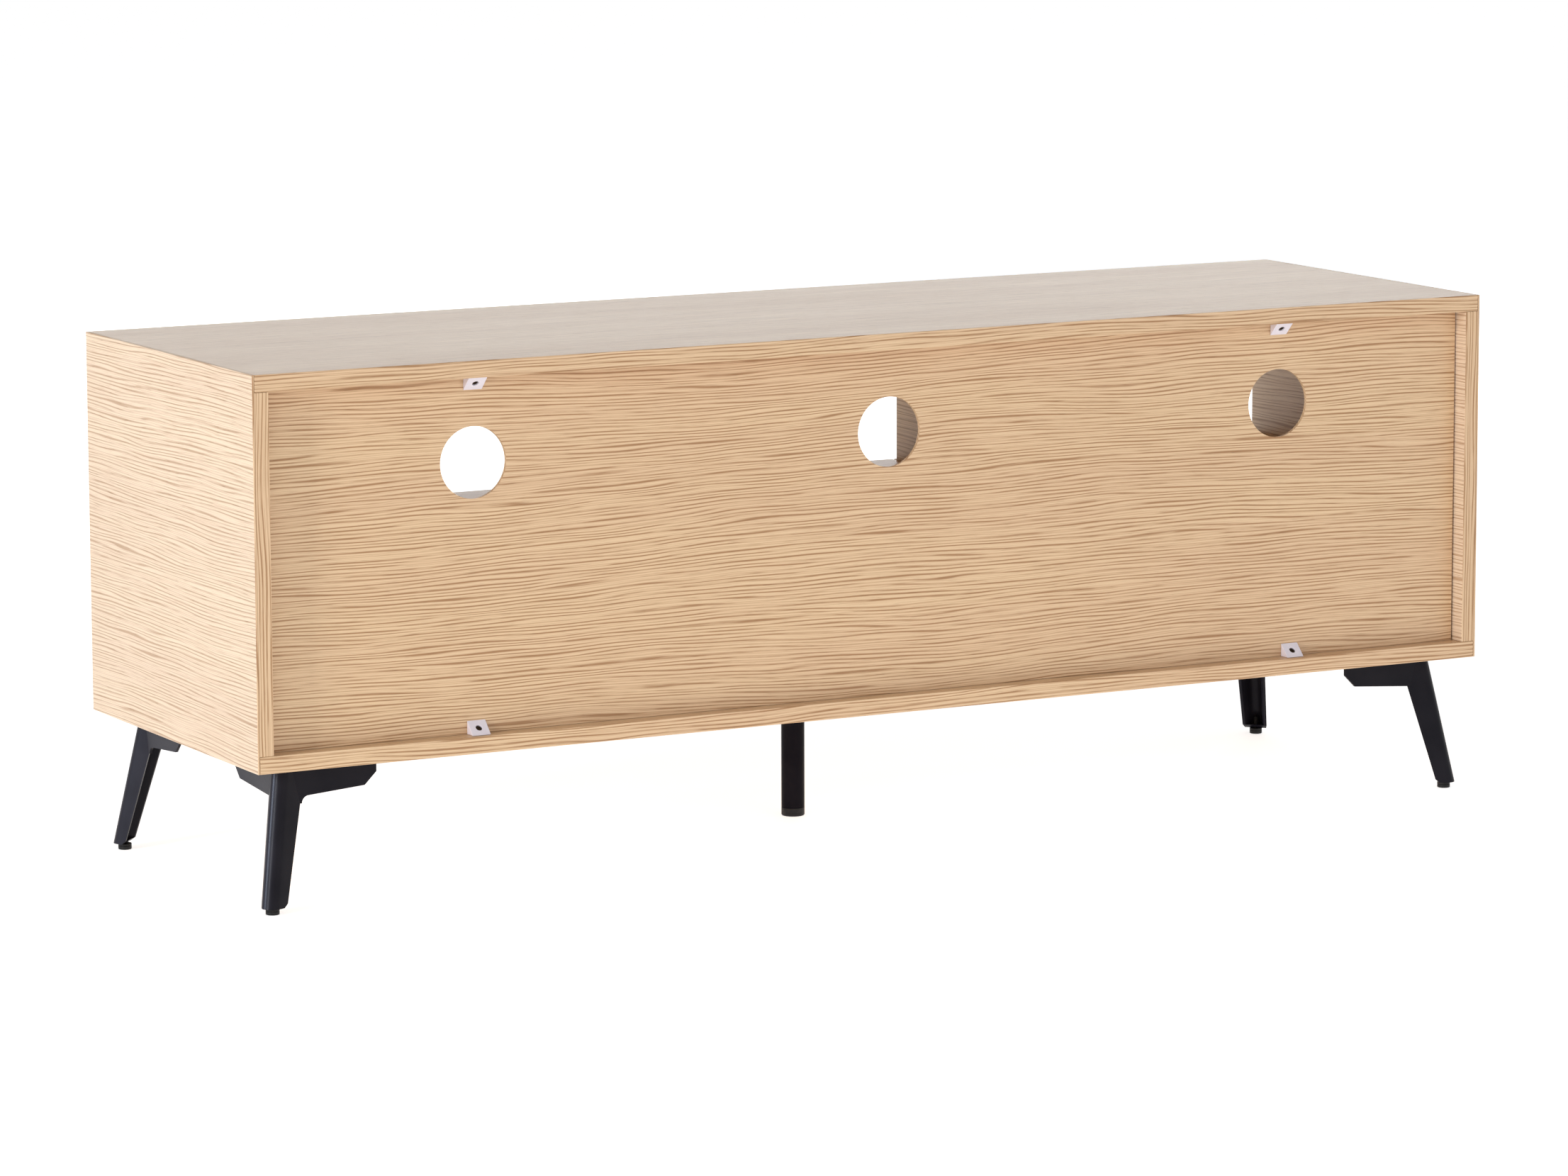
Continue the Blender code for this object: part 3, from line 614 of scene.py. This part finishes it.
def pad_profile(radius, height):
    """Half section of a pad: flat below, round edges, and one grip groove."""
    waist = height * 0.6
    return [(0, 0), *arc((radius - PAD_ROUND, PAD_ROUND), PAD_ROUND, -pi / 2, 0),
            (radius, waist - PAD_GROOVE), (radius - PAD_GROOVE, waist),
            (radius, waist + PAD_GROOVE),
            *arc((radius - PAD_ROUND / 2, height - PAD_ROUND / 2), PAD_ROUND / 2, 0, pi / 2)]


def threaded(radius, start, end):
    """Half section of a threaded stem, from its root up to its end."""
    count = int((end - start) / THREAD_PITCH)
    crests = []
    for turn in range(count):
        height = start + turn * THREAD_PITCH
        crests += [(radius - THREAD_DEPTH, height), (radius, height + THREAD_PITCH / 2)]
    return crests + [(radius - THREAD_DEPTH, end), (0, end)]


for corner in CORNERS:
    node = "foot_" + corner
    foot_low, foot_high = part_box(node)
    radius = (foot_high.x - foot_low.x) / 2
    axis = Vector(((foot_low.x + foot_high.x) / 2, (foot_low.y + foot_high.y) / 2, foot_low.z))
    stem = threaded(FOOT_STEM_R, FOOT_PAD_H, foot_high.z - foot_low.z)
    profile = pad_profile(radius, FOOT_PAD_H) + stem
    foot = show("levelling_foot_" + corner, turned_mesh(node, profile, axis), foot_plastic)
    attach(foot, frame["nodes"][node]["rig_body"])
    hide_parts(node)


# Centre leg.  A round steel tube under a screwed plate, which carries the middle of the
# long bottom board, and ends in a plastic foot pushed into the tube.

TUBE_SHINE = 0.03
PLATE_SCREW_TURNS = (pi / 4, 3 * pi / 4, 5 * pi / 4, 7 * pi / 4)

plate_low, plate_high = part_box("centre_leg_plate")
tube_low, tube_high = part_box("centre_leg_tube")
tube_coat = powder_coat("tube_coat", TUBE_SHINE)
rounded_copy("centre_leg_plate", "middle_plate", LEG_ROUND, tube_coat)
dress(tube_coat, "centre_leg_tube")
dress(foot_plastic, "centre_leg_foot")
plate_middle = (plate_low + plate_high) / 2
ring = (plate_high.x - plate_low.x + tube_high.x - tube_low.x) / 4
grown("middle_plate_screws", screw_heads,
      [((plate_middle.x + ring * cos(a), plate_middle.y + ring * sin(a), plate_low.z), down)
       for a in PLATE_SCREW_TURNS],
      LEG_SCREW, "cabinet", dark_zinc)


# Drawers.  Oak-print fronts with black bar handles on foil-wrapped boxes, whose
# grooves hold thin bottoms.

LINER_DARK = colour(196, 188, 176)
LINER_LIGHT = colour(214, 207, 197)
HANDLE_FOOT_MIDDLE = 0.007  # from a handle's end
HANDLE_SCREW = {"Head Radius": 0.0038, "Head Height": 0.002, "Recess Width": 0.001}
BAYS = ("left", "centre", "right")

front_oak = oak_print("oak_fronts", "oak_front", seed=57.0)
liner = Finish("drawer_liner", "drawer_board")
x, y, z = liner.split(liner.place())
warp = liner.cloud(liner.join(x * 1500.0, y * 120.0, z * 120.0), 1.0, 2.0)
weft = liner.cloud(liner.join(x * 120.0, y * 1500.0, z * 1500.0), 1.0, 2.0)
weave = warp + weft - 0.5
liner_tone = liner.cloud(liner.place(), 14.0, 3.0)
liner.set("Base Color", liner.blend(0.5 * weave + 0.5 * liner_tone, LINER_DARK, LINER_LIGHT))
liner.set("Roughness", 0.5 + 0.16 * weave)
liner.bump(weave, 0.00005, 0.6)

for bay in BAYS:
    handle_low, handle_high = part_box("handle_" + bay)
    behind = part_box("drawer_front_" + bay)[1].y
    grown("handle_screws_" + bay, screw_heads,
          [((end, behind, (handle_low.z + handle_high.z) / 2), (0, 1, 0))
           for end in (handle_low.x + HANDLE_FOOT_MIDDLE, handle_high.x - HANDLE_FOOT_MIDDLE)],
          HANDLE_SCREW, "drawer_" + bay, zinc)
    dress(front_oak, "drawer_front_" + bay)
    dress(liner, "drawer_back_" + bay, "drawer_bottom_" + bay)
    dress(black_coat, "handle_" + bay)
    for hand in ("left", "right"):
        dress(liner, f"drawer_side_{bay}_{hand}")


# Runners.  Zinc-plated channels, the drawer's inside the cabinet's, with steel balls
# between their flanges and pan-head screws through their webs.

RUNNER_T = 0.0012
RUNNER_SCREWS = (0.10, 0.50, 0.88)  # shares of a channel's length
RUNNER_SCREW = {"Head Radius": 0.0032, "Head Height": 0.0016, "Recess Width": 0.0009}
BALL_R = 0.00075
BALL_PITCH = 0.0045
BALLS_IN_ROW = 14
BALL_FROM_WEB = 0.0066


def ball_tree():
    """A row of balls along Y that starts at each point."""
    net, given = tree_with("ball_rows", {
        "Balls": 'Int', "Pitch": 'Float', "Radius": 'Float', "Material": 'Material'})
    row = net.node("GeometryNodeMeshLine", {"mode": 'OFFSET'}, {
        "Count": given["Balls"], "Offset": net.join(0, given["Pitch"], 0)})
    rows = net.node("GeometryNodeInstanceOnPoints", {}, {
        "Points": given["Geometry"], "Instance": row})
    seats = net.node("GeometryNodeRealizeInstances", {}, {0: rows})
    ball = net.node("GeometryNodeMeshIcoSphere", {}, {
        "Radius": given["Radius"], "Subdivisions": 2}, "Mesh")
    placed = net.node("GeometryNodeInstanceOnPoints", {}, {"Points": seats, "Instance": ball})
    return set_out(net, placed, given["Material"])


fixed_screws = []
ball_rows = []
for bay in BAYS:
    moving_screws = []
    for hand, facing in (("left", -1), ("right", 1)):
        dress(zinc, f"runner_drawer_{bay}_{hand}", f"runner_cabinet_{bay}_{hand}")
        fixed_low, fixed_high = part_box(f"runner_cabinet_{bay}_{hand}")
        moving_low, moving_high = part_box(f"runner_drawer_{bay}_{hand}")
        outer_x = fixed_high.x if facing > 0 else fixed_low.x
        inner_x = moving_low.x if facing > 0 else moving_high.x
        height = (fixed_low.z + fixed_high.z) / 2
        for share in RUNNER_SCREWS:
            fixed_y = fixed_low.y + share * (fixed_high.y - fixed_low.y)
            moving_y = moving_low.y + share * (moving_high.y - moving_low.y)
            fixed_x = outer_x - facing * RUNNER_T
            moving_x = inner_x + facing * RUNNER_T
            fixed_screws.append(((fixed_x, fixed_y, height), (-facing, 0, 0)))
            moving_screws.append(((moving_x, moving_y, height), (facing, 0, 0)))
        gap_z = (fixed_high.z - RUNNER_T + moving_high.z) / 2 - height
        for rise in (gap_z, -gap_z):
            seat_x = outer_x - facing * BALL_FROM_WEB
            ball_rows.append(((seat_x, fixed_low.y + BALL_PITCH, height + rise), (0, 0, 1)))
    grown(f"runner_screws_{bay}", screw_heads, moving_screws, RUNNER_SCREW, "drawer_" + bay, zinc)
grown("runner_screws_cabinet", screw_heads, fixed_screws, RUNNER_SCREW, "cabinet", zinc)
grown("runner_balls", ball_tree(), ball_rows,
      {"Balls": BALLS_IN_ROW, "Pitch": BALL_PITCH, "Radius": BALL_R}, "cabinet", zinc)
